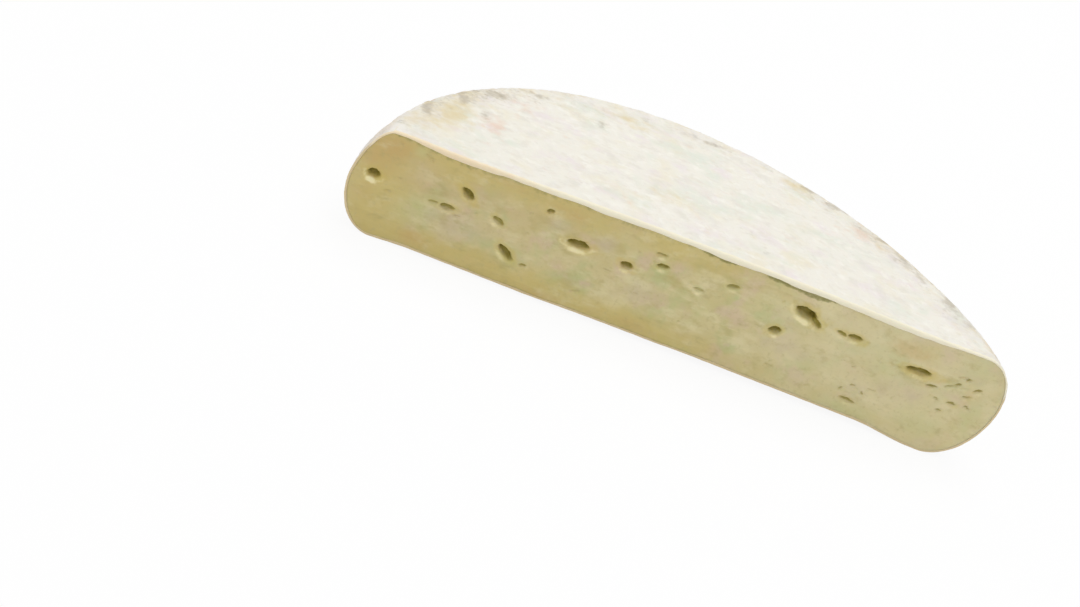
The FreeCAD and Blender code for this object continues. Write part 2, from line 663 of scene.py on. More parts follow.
@dataclass(frozen=True)
class Bump:
    """Fine relief: the size of its grain and its height, in millimetres."""

    grain: float
    height: float
    stretch: tuple[float, float, float] = (1.0, 1.0, 1.0)

    def emboss(
        self,
        tree: bpy.types.NodeTree,
        place: bpy.types.NodeSocket,
        below: dict[str, bpy.types.NodeSocket],
    ) -> dict[str, bpy.types.NodeSocket]:
        """Adds the relief over the relief below it.

        Args:
            tree: The node tree.
            place: The place on the object.
            below: The relief so far, under "Normal", or nothing.

        Returns:
            The relief, under "Normal".
        """
        sizes = tuple(self.grain * share for share in self.stretch)
        grains = add_grains(tree, place, sizes, RELIEF_ROUGHNESS)
        values = {"Strength": 1.0, "Distance": self.height * MM}
        bump = add_node(tree, "Bump", values=values, links={"Height": grains, **below})
        return {"Normal": bump.outputs[0]}


@dataclass(frozen=True)
class Finish:
    """A surface of the cheese: its colours in layers, its relief and its gloss.

    under is the share of light that goes in and comes out again, and under_reach how
    far its red, green and blue travel, in millimetres.
    """

    name: str
    colour: str
    layers: tuple[Layer, ...]
    bumps: tuple[Bump, ...]
    roughness: float
    ior: float
    under: float
    under_reach: tuple[float, float, float]
    sheen: float = 0.0
    sheen_roughness: float = 0.6

    def material(self) -> bpy.types.Material:
        """Builds the material, with every pattern on Object coordinates.

        Returns:
            The material.
        """
        material = bpy.data.materials.new(self.name)
        tree = empty_tree(material)
        place = add_node(tree, "TexCoord").outputs["Object"]
        colour = add_node(tree, "RGB").outputs[0]
        colour.default_value = linear(self.colour)
        for number, layer in enumerate(self.layers):
            colour = layer.paint(tree, place, colour, number)
        relief = {}
        for bump in self.bumps:
            relief = bump.emboss(tree, place, relief)
        shader = add_node(
            tree,
            "BsdfPrincipled",
            {"subsurface_method": "RANDOM_WALK"},
            {
                "Roughness": self.roughness,
                "IOR": self.ior,
                "Subsurface Weight": self.under,
                "Subsurface Radius": self.under_reach,
                "Subsurface Scale": MM,
                "Sheen Weight": self.sheen,
                "Sheen Roughness": self.sheen_roughness,
            },
            {"Base Color": colour, **relief},
        )
        add_node(tree, "OutputMaterial", links={"Surface": shader.outputs[0]})
        return material


# Natural rind washed with brine, under a dry white bloom of mould: no gloss, a soft
# bright edge where the bloom is seen from the side, and ochre skin where it has rubbed
# off. Its colours run from chalk white on top to a lilac grey on the sides.
RIND_FINISH = Finish(
    name="washed_rind_with_bloom",
    colour="#f4f0e4",
    layers=(
        Layer("#f0e8cf", "", 0.5, 0.9, 0.75, 12.0, 0.6),
        Layer("#efe4e4", "", 0.5, 0.95, 0.7, 8.0, 0.6),
        Layer("#e3e8d8", "", 0.5, 0.95, 0.7, 10.0, 0.6),
        Layer("#e7e2d6", "", 0.5, 1.0, 0.75, 4.0, 0.6),
        Layer("#fdfaf0", "", 0.5, 0.95, 0.6, 2.6, 0.6),
        Layer("#e9e3d4", "", 0.55, 1.0, 0.6, 1.8, 0.6),
        # Painted shade: a lilac grey near the shoulder, where the top curves away from the light.
        # The layers after it are the bloom's own tints and specks.
        Layer("#e6e1df", "edge", 0.4, 1.3, 0.6, 6.0, 0.6),
        Layer("#eadfc3", "edge", 0.5, 1.3, 0.6, 3.0, 0.6),
        Layer("#f6f2e6", "edge", 0.6, 1.2, 0.6, 1.7, 0.7),
        Layer("#cbc6b9", "edge", 0.8, 1.6, 0.5, 2.2, 0.7),
        Layer("#b9ac8c", "edge", 1.0, 1.6, 0.45, 1.3, 0.8),
        Layer("#e6dccd", "side", 0.1, 0.9, 1.0, 3.0, 0.3),
        Layer("#d2c6be", "side", 0.8, 1.5, 0.75, 5.0, 0.6),
        Layer("#e6cda6", "side", 0.9, 1.5, 0.6, 8.0, 0.6),
        Layer("#f3ece1", "side", 0.9, 1.4, 0.75, 1.8, 0.6),
        Layer("#d9c6a6", "under", 0.3, 1.3, 0.6, 7.0, 0.5),
        Layer("#cba878", "crease", 0.3, 1.0, 0.8, 1.2, 0.3),
        Layer("#9b8a72", "crease", 0.75, 1.3, 0.7, 1.0, 0.4),
        Layer("#dde0cd", "moss", 0.1, 1.2, 0.6, 3.5, 0.5),
        Layer("#e3d1a0", "stain", 0.15, 1.3, 0.8, 3.4, 0.6),
        Layer("#e9c6ac", "blush", 0.15, 1.3, 0.65, 2.8, 0.6),
        Layer("#ab9e86", "shade", 0.25, 1.4, 0.6, 1.6, 0.65),
        Layer("#e0c080", "bare", 0.3, 0.6, 0.9, 0.9, 0.25),
        Layer("#d3ad4c", "bare", 0.6, 0.9, 0.9, 1.3, 0.3),
        Layer("#cf993a", "bare", 0.95, 1.35, 0.85, 5.0, 0.6),
        Layer("#b5a14a", "bare", 0.95, 1.35, 0.8, 6.5, 0.6),
        Layer("#a47d33", "bare", 1.0, 1.4, 0.6, 0.9, 0.5),
        Layer("#fbf3d8", "lip", 0.35, 0.7, 0.9, 0.8, 0.15),
        Layer("#f6dfb9", "warm", 0.1, 1.0, 0.8, 1.6, 0.25),
        Layer("#dfc898", "skin", 0.35, 0.75, 0.9, 0.8, 0.2),
    ),
    bumps=(
        Bump(1.6, 0.16),
        Bump(0.55, 0.07),
    ),
    roughness=0.92,
    ior=1.4,
    under=0.08,
    under_reach=(0.9, 0.7, 0.45),
    sheen=0.25,
)

# Soft uncooked curd, pressed and ripened, cut by a knife: a moist satin that lets light
# in a little, smeared along the stroke. Painted shade darkens the eyes and the stretch under
# the rind's lip, and painted light makes the lips below the eyes pale.
PASTE_FINISH = Finish(
    name="cut_soft_curd",
    colour="#d6c996",
    layers=(
        Layer("#cbbe84", "", 0.35, 0.95, 0.85, 14.0, 0.6),
        Layer("#c2c48a", "", 0.42, 0.82, 0.9, 7.0, 0.6),
        Layer("#d7bfa3", "", 0.47, 0.88, 0.8, 5.5, 0.6),
        Layer("#e5daad", "", 0.45, 0.95, 0.85, 4.5, 0.6, (1.6, 1.0, 0.8)),
        Layer("#bdb072", "", 0.5, 1.0, 0.7, 3.6, 0.6, (1.5, 1.0, 0.9)),
        Layer("#cdb787", "ripe", 0.1, 1.0, 0.8, 6.0, 0.25),
        Layer("#e1d5aa", "fresh", 0.2, 1.3, 0.75, 7.0, 0.4),
        Layer("#d1be77", "golden", 0.1, 1.1, 0.8, 7.0, 0.35),
        Layer("#ccac6e", "amber", 0.1, 1.1, 0.75, 4.0, 0.35),
        Layer("#cbca90", "green", 0.1, 1.1, 0.5, 4.0, 0.35),
        Layer("#cbbb9e", "grey", 0.1, 1.1, 0.7, 4.0, 0.35),
        Layer("#cfbb66", "yolk", 0.1, 1.1, 0.7, 2.5, 0.35),
        Layer("#e4d9ac", "", 0.5, 1.15, 0.7, 2.6, 0.5, (1.7, 1.0, 0.9)),
        Layer("#b5a76c", "", 0.55, 1.15, 0.7, 2.2, 0.5, (1.6, 1.0, 0.9)),
        Layer("#c2b581", "", 0.55, 1.1, 0.5, 0.9, 0.6),
        # Painted light: the lips and rings below the eyes made pale as if lit from above. The same
        # mask carries the knife's real pale smear.
        Layer("#f8ecba", "lit_lips_and_smear", 0.12, 0.85, 0.9, 0.6, 0.12),
        # Painted shade: the eyes' hollows darkened to olive, most in their upper part, where the
        # light from above does not reach.
        Layer("#a5984a", "hollow", 0.05, 0.5, 0.85, 0.8, 0.08),
        Layer("#918220", "hollow", 0.45, 1.0, 0.85, 0.8, 0.08),
        # Painted shadow in the gaps under the rind's lip, and painted shade along the seam on the
        # left.
        Layer("#8d884c", "gap_shade", 0.1, 1.2, 0.85, 1.0, 0.4),
    ),
    bumps=(
        Bump(1.1, 0.05, stretch=(3.0, 1.0, 0.8)),
        Bump(0.35, 0.03),
    ),
    roughness=0.5,
    ior=1.42,
    under=0.18,
    under_reach=(2.2, 1.5, 0.7),
)


# ---------------------------------------------------------------- the half


class Side(Enum):
    """The sides of the cut's outline, in the order in which a loop follows them."""

    TOP = 0
    LEFT = 1
    BASE = 2
    RIGHT = 3


@dataclass(frozen=True)
class CutOutline:
    """The half's outline in the plane of the cut, as a loop.

    It runs along the top from right to left, down the left end, back along the base and
    up the right end.
    """

    form: WheelForm
    along: int
    up: int

    def sides(self) -> dict[Side, np.ndarray]:
        """Works out the four sides.

        Returns:
            Each side's points from its first corner to its last, in the loop's order.
        """
        steps = self.form.even_steps(self.up)
        right, left = self.form.cut_angles(steps)
        right_end = self.form.rim_point(right, steps)
        left_end = self.form.rim_point(left, steps)[::-1]
        share = np.linspace(0.0, 1.0, self.along + 1)[:, None]
        top = right_end[-1] * (1.0 - share) + left_end[0] * share
        base = left_end[-1] * (1.0 - share) + right_end[0] * share
        top[:, 2] = self.form.crown(top)
        base[:, 2] = self.form.base(base)
        sides = {Side.TOP: top, Side.LEFT: left_end, Side.BASE: base, Side.RIGHT: right_end}
        for points in sides.values():
            points[:, 1] = self.form.cut_offset
        return {side: self.form.drawn_up(points) for side, points in sides.items()}

    def loop(self) -> tuple[np.ndarray, np.ndarray]:
        """Joins the four sides into the closed loop's points, with their places round it."""
        sides = self.sides()
        return join_sides(*(sides[side] for side in Side))

    @staticmethod
    def inwards(loop: np.ndarray) -> np.ndarray:
        """Finds the way into an outline: its smoothed direction, turned.

        Args:
            loop: The points of a closed loop.

        Returns:
            Unit directions at the points.
        """
        along = np.roll(loop, -2, axis=0) - np.roll(loop, 2, axis=0)
        inward = np.stack([along[:, 2], np.zeros(len(loop)), -along[:, 0]], axis=-1)
        inward /= np.linalg.norm(inward, axis=-1, keepdims=True)
        middle = loop.mean(axis=0)
        facing = np.sum(inward * (middle - loop), axis=-1).mean()
        return inward * np.sign(facing)


@dataclass(frozen=True)
class SkinGrid:
    """The half's outer skin as three grids that meet: rim, top and base.

    The rim's columns run round the wheel from the right end of the cut to the left. The
    top and the base are patches whose far three edges lie on the rim, and corner is how
    many of the rim's columns lie along a patch's right or left edge.
    """

    form: WheelForm
    around: int
    corner: int
    up: int

    def surfaces(self) -> tuple[np.ndarray, np.ndarray, np.ndarray]:
        """Works out the smooth form's points.

        Returns:
            The grids of the rim (up, around), the top and the base (back, across).
        """
        steps = self.form.even_steps(self.up)
        first, last = self.form.cut_angles(steps)
        share = np.linspace(0.0, 1.0, self.around + 1)
        angles = first[:, None] * (1.0 - share) + last[:, None] * share
        rim = self.form.rim_point(angles, np.broadcast_to(steps[:, None], angles.shape))
        patches = []
        for ring, height in ((rim[-1], self.form.crown), (rim[0], self.form.base)):
            back = ring[self.corner : self.around - self.corner + 1]
            across = np.linspace(0.0, 1.0, len(back))[:, None]
            chord = ring[0] * (1.0 - across) + ring[-1] * across
            right, left = ring[: self.corner + 1], ring[::-1][: self.corner + 1]
            patch = patch_between(chord, back, right, left)
            patch[..., 2] = height(patch)
            patches.append(self.form.drawn_up(patch))
        return self.form.drawn_up(rim), patches[0], patches[1]

    @staticmethod
    def outward(surfaces: tuple[np.ndarray, ...]) -> list[np.ndarray]:
        """Works out the grids' normals, turned outwards by their middles.

        Args:
            surfaces: The rim, the top and the base.

        Returns:
            Unit normals: out of the back for the rim, upwards and downwards.
        """
        found = []
        for points, out in zip(surfaces, ((0, 1, 0), (0, 0, 1), (0, 0, -1))):
            normals = grid_normals(points)
            middle = normals[len(normals) // 2, normals.shape[1] // 2]
            found.append(normals * np.sign(middle @ out))
        return found

    def share_edges(self, rim: np.ndarray, patch: np.ndarray, row: int) -> None:
        """Gives a patch's three far edges the rim's own values, in place.

        Args:
            rim: Points or values of the rim.
            patch: Those of the patch.
            row: The rim's row on which the patch lies.
        """
        ring = rim[row]
        patch[-1] = ring[self.corner : self.around - self.corner + 1]
        patch[:, 0] = ring[: self.corner + 1]
        patch[:, -1] = ring[::-1][: self.corner + 1]

    def add_to(
        self,
        maker: MeshMaker,
        moved: list[np.ndarray],
        carried: list[dict[str, np.ndarray]],
        cut_at: float,
    ) -> tuple[np.ndarray, np.ndarray]:
        """Adds the three grids to a mesh, joined, with their open edge near the cut.

        Args:
            maker: The mesh.
            moved: The points of the rim, the top and the base.
            carried: Their values by name, the same names for all three.
            cut_at: Where the open edge lies in y.

        Returns:
            The point numbers of the open edge, and their places round the loop.
        """
        rim, top, base = moved
        for k, row in ((1, -1), (2, 0)):
            self.share_edges(rim, moved[k], row)
            for name, values in carried[k].items():
                self.share_edges(carried[0][name], values, row)
        for points in (top[0], base[0], rim[:, 0], rim[:, -1]):
            points[..., 1] = cut_at
        rim, top, base = (maker.add_points(p, **v) for p, v in zip(moved, carried))
        for numbers in (rim, top, base):
            maker.add_grid(numbers)
        return join_sides(top[0], rim[::-1, -1], base[0, ::-1], rim[:, 0])


def add_inner_skin(
    maker: MeshMaker,
    form: WheelForm,
    inset: float,
    back: float,
    loop: np.ndarray,
    places: np.ndarray,
) -> None:
    """Adds a coarse skin inside the form, closed on to a loop near the cut.

    The three grids of the form are moved in along their normals, their edge near the
    cut is set back, and the edge is zipped to the loop.

    Args:
        maker: The mesh.
        form: The wheel's form.
        inset: How far the skin lies inside the form, in millimetres.
        back: How far its edge lies behind the cut.
        loop: Point numbers of the loop to close on to.
        places: Their places round the loop.
    """
    grid = SkinGrid(form, *INNER_STEPS)
    surfaces = grid.surfaces()
    moved = [p - n * inset for p, n in zip(surfaces, grid.outward(surfaces))]
    edge, edge_places = grid.add_to(maker, moved, [{}, {}, {}], form.cut_offset + back)
    maker.add_zip(loop, places, edge, edge_places)


@dataclass(frozen=True)
class Patch:
    """A soft spot on a face: its middle and its half widths in millimetres.

    On the top it is placed by x and y, and on the cut by x and z.
    """

    across: float
    along: float
    half_across: float
    half_along: float
    strength: float

    def cover(self, across: np.ndarray, along: np.ndarray) -> np.ndarray:
        """Works out a bell over the spot: strength * exp(-(distance in half widths)^2).

        Args:
            across: Where the points lie across the face.
            along: Where they lie along it.

        Returns:
            The bell at each point.
        """
        away = ((across - self.across) / self.half_across) ** 2
        away = away + ((along - self.along) / self.half_along) ** 2
        return self.strength * np.exp(-away)


def cover_all(spots: tuple[Patch, ...], across: np.ndarray, along: np.ndarray) -> np.ndarray:
    """Adds up the bells over many spots."""
    return sum(spot.cover(across, along) for spot in spots)


@dataclass(frozen=True)
class SkinPlace:
    """Where points of the skin lie, in the measures that its height and masks share.

    ring is the skin rolled out: the way round the rim, nothing, and the height. up is how
    far the skin faces up, -1 to 1. drop is how far a point lies under the shoulder's
    plane, behind how far behind the cut, and inside how far in from the shoulder's edge.
    """

    points: np.ndarray
    ring: np.ndarray
    plan: tuple[np.ndarray, np.ndarray]
    up: np.ndarray
    drop: np.ndarray
    behind: np.ndarray
    inside: np.ndarray

    @property
    def side(self) -> np.ndarray:
        """How far a point is on the side or below it, 0 on top and 1 there."""
        return ease(*SIDE_TURN, self.up)

    @property
    def under(self) -> np.ndarray:
        """How far a point is on the base, 0 to 1."""
        return ease(*BASE_TURN, self.up)

    @property
    def open_side(self) -> np.ndarray:
        """How far a point is on the side alone, 0 to 1."""
        return self.side * (1.0 - self.under)

    @property
    def edge(self) -> np.ndarray:
        """How near a point of the top is to the shoulder, 0 to 1."""
        return ease(*EDGE_REACH, self.inside) * ease(*EDGE_TURN, self.up)


@dataclass(frozen=True)
class SkinPattern:
    """What is drawn on the skin at those points, 0 to 1.

    band is the bare band, which starts at band_start under the shoulder. crease and line
    are the bloom's wrinkles, and area is how wrinkled it is there.
    """

    band: np.ndarray
    band_start: np.ndarray
    crease: np.ndarray
    line: np.ndarray
    area: np.ndarray


@dataclass(frozen=True)
class RindHeights:
    """How high or deep the parts of the rind's relief are, in millimetres."""

    bloom: float = 0.14
    crease: float = 0.26
    felt: float = 0.09
    line: float = 0.1
    top_felt: float = 0.05
    top_crease: float = 0.06
    dent: float = 0.12
    band: float = 0.26
    band_felt: float = 0.078
    roll: float = 0.16
    base: float = 0.1
    weave: float = 0.06
    base_felt: float = 0.03


@dataclass
class Rind:
    """The rind: a closed skin about a millimetre thick, open only at the cut.

    The bare band starts a little under the shoulder, and ring_radius is the radius at
    which the rim is rolled out. The lip is loops, each a share of the way in and how far
    out of the cut it bulges. It is pale where it is high, and warmer towards the left.
    The skin thins at the cut's ends. What ends in least is what is left of something
    where it is weakest, as a share.
    """

    form: WheelForm
    heights: RindHeights = RindHeights()

    # Steps round the rim, along a side of the top or the base, and up the rim.
    around: int = 376
    corner: int = 93
    up: int = 66

    # The skin in the cut, and its inner side behind it.
    top_thickness: float = 0.95
    end_thickness: float = 0.42
    base_thickness: float = 0.5
    thick_top: Ramp = (0.75, 1.0)
    thick_base: Ramp = (-0.6, -1.0)
    thin_ends: tuple[Ramp, Ramp] = ((-64.0, -50.0), (64.0, 46.0))
    wobble_share: float = 0.25
    wall: float = 1.1
    wall_back: float = 0.9

    # The lip of the cut.
    edge_back: float = 0.1
    lip_loops: tuple[tuple[float, float], ...] = (
        (0.12, 0.0), (0.3, 0.1), (0.55, 0.15), (0.8, 0.1), (1.0, 0.0)
    )
    lip_hem: float = 0.35
    lip_reach: Ramp = (1.5, 0.2)
    lip_turn: Ramp = (0.9, 0.97)
    lip_high: Ramp = (16.0, 21.0)
    lip_strength: float = 0.9
    lip_last: float = 0.6
    bulge_share: float = 0.5
    bulge_least: float = 0.3
    warm_side: Ramp = (-15.0, -55.0)
    cut_fade: Ramp = (0.0, 3.0)
    cut_least: float = 0.3

    # The bare band under the shoulder, and the roll of bloom that ends over it.
    ring_radius: float = 66.0
    band_start: float = 1.2
    band_wander: float = 0.35
    band_width: float = 2.0
    band_swing: float = 1.1
    band_least: float = -0.1
    band_blob: float = 2.0
    blob_where: Ramp = (0.35, 1.0)
    band_fray: float = 0.8
    band_top: Ramp = (-0.2, 0.25)
    band_foot: float = 0.4
    band_turn: Ramp = (0.995, 0.94)
    band_fade: Ramp = (3.0, 20.0)
    roll_drop: float = -0.45
    roll_width: float = 0.4
    roll_turn: Ramp = (0.998, 0.96)

    # The bloom's wrinkles and worn places, and the print of the cloth below.
    wrinkled_where: Ramp = (-0.5, 0.6)
    crease_width: float = 0.2
    crease_least: float = 0.35
    crease_pale: float = 0.25
    crease_edge: float = 0.5
    line_pitch: float = 9.0
    line_width: float = 0.3
    line_slant: float = 0.55
    worn_where: Ramp = (0.55, 1.2)
    worn_drift: float = 0.2
    worn_strength: float = 0.6
    cloth_pitch: float = 2.6
    cloth_ways: tuple[tuple[float, float], ...] = ((0.8, 0.6), (-0.6, 0.8))

    # The shoulder's line, frayed and specked.
    edge_least: float = 0.6
    rim_turns: tuple[Ramp, Ramp] = ((0.999, 0.96), (0.25, 0.6))
    fretted_where: Ramp = (-0.1, 0.9)
    fretted_strength: float = 0.8
    specks_where: Ramp = (0.1, 0.9)
    specks_strength: float = 0.9

    # Grains, the first five of them on the skin rolled out.
    ragged: Grain = Grain(2.6, 5, 4)
    drift: Grain = Grain(26.0, 6, 2, (1.0, 1.0, 9.0))
    waver: Grain = Grain(3.5, 7, 3)
    blobs: Grain = Grain(8.0, 8, 2, (1.0, 1.0, 4.0))
    wear: Grain = Grain(5.5, 9, 3, (1.0, 1.0, 1.2))
    area: Grain = Grain(15.0, 11, 2)
    crossing: Grain = Grain(2.3, 21, 3)
    felt: Grain = Grain(0.9, 31, 2)
    dents: Grain = Grain(14.0, 41, 2)
    fretted: Grain = Grain(2.4, 51, 3)
    specks: Grain = Grain(1.7, 61, 3)
    wobble: Grain = Grain(5.0, 71, 3)
    bulge: Grain = Grain(1.4, 81, 2)

    # The values that the mesh carries, and the coloured spots of the top.
    masks: tuple[str, ...] = (
        "side", "under", "bare", "edge", "crease", "moss", "stain", "blush", "shade", "lip",
        "warm", "skin",
    )
    stains: tuple[Patch, ...] = rows_of(
        Patch,
        (-53, -12, 4, 6, 1.0), (-16, 17, 8, 5, 0.65), (-9, -15, 5, 4, 0.45),
        (24, 17, 4.5, 4, 1.0), (-61, -22, 4, 7, 0.5), (-50, -1, 6, 6, 0.55),
        (-36, 12, 8, 4, 0.5), (-57, -20, 5, 6, 0.5), (44, 4, 5, 6, 0.4),
        (60, -20, 4, 6, 0.4),
    )
    blushes: tuple[Patch, ...] = rows_of(
        Patch,
        (-45, -12, 3.2, 5, 1.0), (-17, -21, 4, 4, 0.35), (37, 6, 4.5, 5, 0.8),
        (-39, 4, 4, 5, 0.5), (2, 15, 4, 3, 0.3), (63, -23, 2, 4, 0.5),
    )
    mosses: tuple[Patch, ...] = rows_of(
        Patch,
        (42, 8, 4, 3, 0.8), (22, -6, 5, 9, 0.5), (36, -11, 5, 5, 0.5), (57, -14, 3, 8, 0.8),
        (-11, -13, 6, 5, 0.5), (-20, -22, 4, 3, 0.5), (-12, 20, 8, 4, 0.6),
        (12, -24, 4, 3, 0.6), (-48, -24, 5, 4, 0.6), (-60, -27, 4, 3, 0.8),
    )
    shades: tuple[Patch, ...] = rows_of(
        Patch,
        (-47, -8, 1.2, 2.5, 0.9), (-22, 9, 1.0, 2.4, 1.0), (-59, -15, 1.5, 4, 1.0),
        (-52, -3, 1.8, 3.5, 1.0), (-45, 5, 3.0, 1.8, 1.0), (-36, 12, 3.0, 1.2, 0.7),
        (-12, 21, 1.2, 1.5, 0.7), (4, 22, 2.5, 0.9, 0.7), (17, 20, 1.6, 1.2, 0.8),
        (26, 18, 2.6, 1.2, 1.1), (32, 14, 1.8, 1.4, 0.9), (38, 8, 1.6, 1.6, 0.7),
        (42, 6, 2.2, 1.2, 1.0), (47, 0, 1.2, 3.0, 0.9), (50, -5, 1.2, 3.5, 0.9),
        (56, -12, 1.3, 3.5, 0.9), (59, -18, 1.2, 3.0, 0.9), (10, -18, 3.0, 3.0, 0.45),
        (13, -24, 1.0, 3.0, 0.6), (30, 11, 1.2, 1.6, 0.6), (-57, -10, 4.0, 9.0, 0.5),
        (-48, 2, 5.0, 5.0, 0.55), (-38, 10, 7.0, 3.5, 0.5), (-24, 17, 7.0, 2.5, 0.45),
        (-62, -25, 3.0, 3.0, 0.5), (0, 22, 10.0, 1.5, 0.4), (30, 15, 6.0, 3.0, 0.5),
        (45, 2, 4.0, 6.0, 0.45), (56, -14, 3.5, 8.0, 0.5),
    )

    def locate(self, points: np.ndarray, normals: np.ndarray) -> SkinPlace:
        """Measures where points of the skin lie.

        Args:
            points: Points on the smooth form.
            normals: Their outward normals.

        Returns:
            The measures.
        """
        x, y, z = np.moveaxis(points, -1, 0)
        angle = np.arctan2(y, x)
        edge = self.form.reach(angle) - self.form.rim_at(angle)[1]
        place = points + self.form.shift()
        return SkinPlace(
            points=points,
            ring=np.stack([angle * self.ring_radius, np.zeros_like(angle), z], axis=-1),
            plan=(place[..., 0], place[..., 1]),
            up=normals[..., 2],
            drop=self.form.top_height(x) - z,
            behind=y - self.form.cut_offset,
            inside=edge - np.linalg.norm(points[..., :2], axis=-1),
        )

    def bare_band(self, at: SkinPlace) -> tuple[np.ndarray, np.ndarray]:
        """Works out the bare band under the shoulder.

        Its depth down the side is a slow grain round the rim, both its edges are frayed,
        and blobs hang from it. It fades out towards the left end of the cut.

        Args:
            at: Where the points lie.

        Returns:
            The band, 0 to 1, and how far under the shoulder it starts.
        """
        start = self.band_start + self.band_wander * self.waver.at(at.ring)
        swing = 1.0 + self.band_swing * self.drift.at(at.ring)
        end = start + self.band_width * np.maximum(swing, self.band_least)
        end = end + self.band_blob * ease(*self.blob_where, self.blobs.at(at.ring))
        end = end + self.band_fray * self.ragged.at(at.ring)
        above, below = self.band_top
        band = ease(start + above, start + below, at.drop)
        band = band * ease(end + self.band_foot, end - self.band_foot, at.drop)
        band = band * (1.0 - at.under) * ease(*self.band_turn, at.up)
        fade = np.where(at.points[..., 0] < 0.0, ease(*self.band_fade, at.behind), 1.0)
        return band * fade, start

    def draw(self, at: SkinPlace) -> SkinPattern:
        """Draws the bare band and the wrinkles of the bloom.

        The creases are where a grain passes through 0, exp(-(grain / width)^2). The
        lines slant down the side at an even pitch.

        Args:
            at: Where the points lie.

        Returns:
            The patterns.
        """
        band, start = self.bare_band(at)
        area = ease(*self.wrinkled_where, self.area.at(at.points))
        across = at.ring[..., 0] * self.line_slant + at.points[..., 2]
        from_line = np.mod(across, self.line_pitch) - self.line_pitch / 2.0
        return SkinPattern(
            band=band,
            band_start=start,
            crease=bell(self.crossing.at(at.points) / self.crease_width),
            line=bell(from_line / self.line_width) * area * at.open_side,
            area=area,
        )

    def height(self, at: SkinPlace, drawn: SkinPattern) -> np.ndarray:
        """Works out how far the skin stands out from the smooth form.

        The side is felted bloom with creases, and ends over the bare band in a small
        roll. The top is smoother. The base has the print of the cloth that the curd
        drained on, a cosine along each thread. Near the cut the relief is lower.

        Args:
            at: Where the points lie.
            drawn: The patterns there.

        Returns:
            The height in millimetres.
        """
        deep = self.heights
        x, y = at.points[..., 0], at.points[..., 1]
        felt = self.felt.at(at.points)
        side = deep.crease * drawn.crease * at_least(self.crease_least, drawn.area)
        side = (1.0 - drawn.band) * (deep.bloom - side) + deep.felt * felt
        top = deep.top_felt * felt - deep.top_crease * drawn.crease * at.edge
        roll = bell((at.drop - drawn.band_start - self.roll_drop) / self.roll_width)
        roll = roll * ease(*self.roll_turn, at.up)
        height = at.open_side * side + (1.0 - at.side) * top
        height = height + deep.dent * self.dents.at(at.points)
        height = height + deep.roll * roll - deep.line * drawn.line
        height = height - drawn.band * (deep.band + deep.band_felt * felt)
        threads = [x * c + y * d for c, d in self.cloth_ways]
        weave = sum(np.cos(2.0 * math.pi * t / self.cloth_pitch) for t in threads) / 2.0
        base = deep.weave * weave + deep.base_felt * felt - deep.base
        height = height * (1.0 - at.under) + base * at.under
        return height * at_least(self.cut_least, ease(*self.cut_fade, at.behind))

    def tints(self, at: SkinPlace, drawn: SkinPattern) -> dict[str, np.ndarray]:
        """Works out the masks that the rind's colours follow.

        The skin is worn where a grain round the rim is high. The shoulder's line is
        frayed and specked where finer grains are, and the spots lie on the top alone.

        Args:
            at: Where the points lie.
            drawn: The patterns there.

        Returns:
            The masks by name.
        """
        crease = drawn.crease * at_least(self.crease_pale, drawn.area)
        crease = crease * (at.side + self.crease_edge * at.edge)
        worn = self.wear.at(at.ring) + self.worn_drift * self.drift.at(at.ring)
        worn = self.worn_strength * ease(*self.worn_where, worn) * at.open_side
        rim = math.prod(ease(*turn, at.up) for turn in self.rim_turns)
        fretted = rim * ease(*self.fretted_where, self.fretted.at(at.points))
        specks = rim * ease(*self.specks_where, self.specks.at(at.points))
        lip = ease(*self.lip_reach, at.behind) * ease(*self.lip_turn, at.up)
        lip = self.lip_strength * lip
        top = 1.0 - at.side
        return {
            "side": at.side,
            "under": at.under,
            "lip": lip,
            "warm": lip * ease(*self.warm_side, at.plan[0]),
            "bare": np.clip(drawn.band + worn, 0.0, 1.0),
            "edge": at.edge * at_least(self.edge_least, drawn.area),
            "crease": np.maximum(crease, drawn.line),
            "stain": top * cover_all(self.stains, *at.plan) + self.fretted_strength * fretted,
            "blush": top * cover_all(self.blushes, *at.plan),
            "moss": top * cover_all(self.mosses, *at.plan),
            "shade": top * cover_all(self.shades, *at.plan) + self.specks_strength * specks,
        }

    def build(self) -> bpy.types.Object:
        """Builds the skin: outer grids, the lip of the cut, and the wall inside.

        Returns:
            The rind.
        """
        grid = SkinGrid(self.form, self.around, self.corner, self.up)
        surfaces = grid.surfaces()
        moved, carried = [], []
        for points, normals in zip(surfaces, grid.outward(surfaces)):
            at = self.locate(points, normals)
            drawn = self.draw(at)
            points = points + normals * self.height(at, drawn)[..., None]
            points[..., 2] = np.maximum(points[..., 2], 0.0)
            moved.append(points)
            carried.append(self.tints(at, drawn))
        maker = MeshMaker(self.masks)
        cut_at = self.form.cut_offset + self.edge_back
        edge, places = grid.add_to(maker, moved, carried, cut_at)
        last = self.add_lip(maker, edge, np.concatenate(maker.points)[edge])
        add_inner_skin(maker, self.form, self.wall, self.wall_back, last, places)
        return maker.piece("rind", self.form.shift())

    def inner_outline(self, along: int, up: int, extra: float = 0.0) -> np.ndarray:
        """Works out the inside of the rind in the cut: the outline, moved in.

        Args:
            along: Steps along the top and the base.
            up: Steps up each end.
            extra: How much further in, in millimetres.

        Returns:
            The loop's points.
        """
        loop, _ = CutOutline(self.form, along, up).loop()
        inward = CutOutline.inwards(loop)
        upward = -inward[:, 2]
        middle = math.prod(ease(*end, loop[:, 0]) for end in self.thin_ends)
        over = self.top_thickness - self.end_thickness
        below = self.base_thickness - self.end_thickness
        thickness = self.end_thickness + over * ease(*self.thick_top, upward) * middle
        thickness = thickness + below * ease(*self.thick_base, upward)
        thickness = thickness * (1.0 + self.wobble_share * self.wobble.at(loop))
        return loop + inward * (thickness + extra)[:, None]

